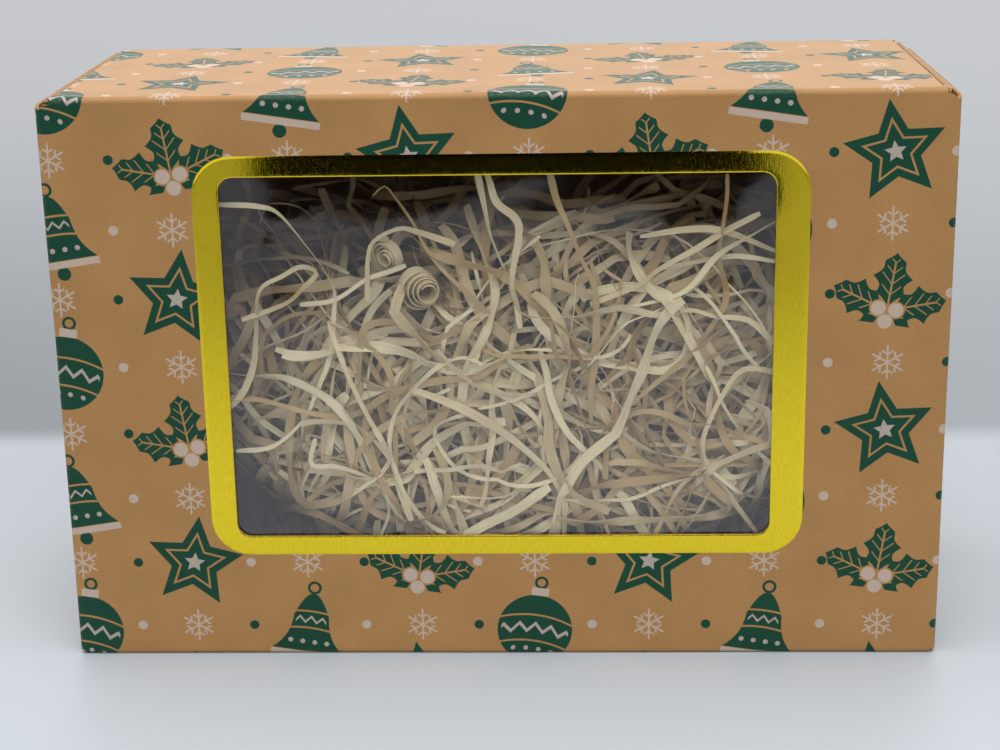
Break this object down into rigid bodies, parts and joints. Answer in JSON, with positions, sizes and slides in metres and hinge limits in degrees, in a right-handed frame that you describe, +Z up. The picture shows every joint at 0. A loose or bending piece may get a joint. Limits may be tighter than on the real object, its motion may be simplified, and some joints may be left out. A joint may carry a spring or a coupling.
{
  "type": "christmas eve box",
  "caption": "Rectangular kraft board gift box with a hinged window lid, a gold foil border round the film window, and wood wool filling the tray.",
  "frame": {"origin": "middle of the closed box's footprint, on the surface it stands on", "axes": "+Z up from the front flange it stands on to the hinge wall, the window faces -Y, +X to the right as the window is seen"},
  "size_m": [0.38, 0.145, 0.25],
  "materials": {
    "kraft_board": "matte",
    "gold_foil": "polished",
    "clear_film": "gloss",
    "clear_glue": "satin",
    "wood_wool": "matte"
  },
  "bodies": {
    "tray": {"base_panel": "kraft_board", "front_crease": "kraft_board", "front_left_corner_tab": "kraft_board", "front_right_corner_tab": "kraft_board", "front_wall": "kraft_board", "hinge_crease": "kraft_board", "left_crease": "kraft_board", "left_side_lining": "kraft_board", "left_side_rim": "kraft_board", "left_side_wall": "kraft_board", "rear_crease": "kraft_board", "rear_left_corner_tab": "kraft_board", "rear_right_corner_tab": "kraft_board", "rear_wall": "kraft_board", "right_crease": "kraft_board", "right_side_lining": "kraft_board", "right_side_rim": "kraft_board", "right_side_wall": "kraft_board", "wood_wool_bed": "wood_wool", "wood_wool_roll_large": "wood_wool", "wood_wool_roll_small": "wood_wool"},
    "lid": {"lid_front_crease": "kraft_board", "lid_front_flange": "kraft_board", "lid_left_crease": "kraft_board", "lid_left_flange": "kraft_board", "lid_left_glue_tab": "kraft_board", "lid_panel": "kraft_board", "lid_right_crease": "kraft_board", "lid_right_flange": "kraft_board", "lid_right_glue_tab": "kraft_board", "window_film": "clear_film", "film_adhesive": "clear_glue", "foil_border": "gold_foil"}
  },
  "joints": [
    {"name": "lid_hinge", "type": "hinge", "parent": "tray", "child": "lid", "pos_m": [0, -0.07196, 0.24946], "axis": [-1, 0, 0], "range_deg": [0, 175]}
  ]
}
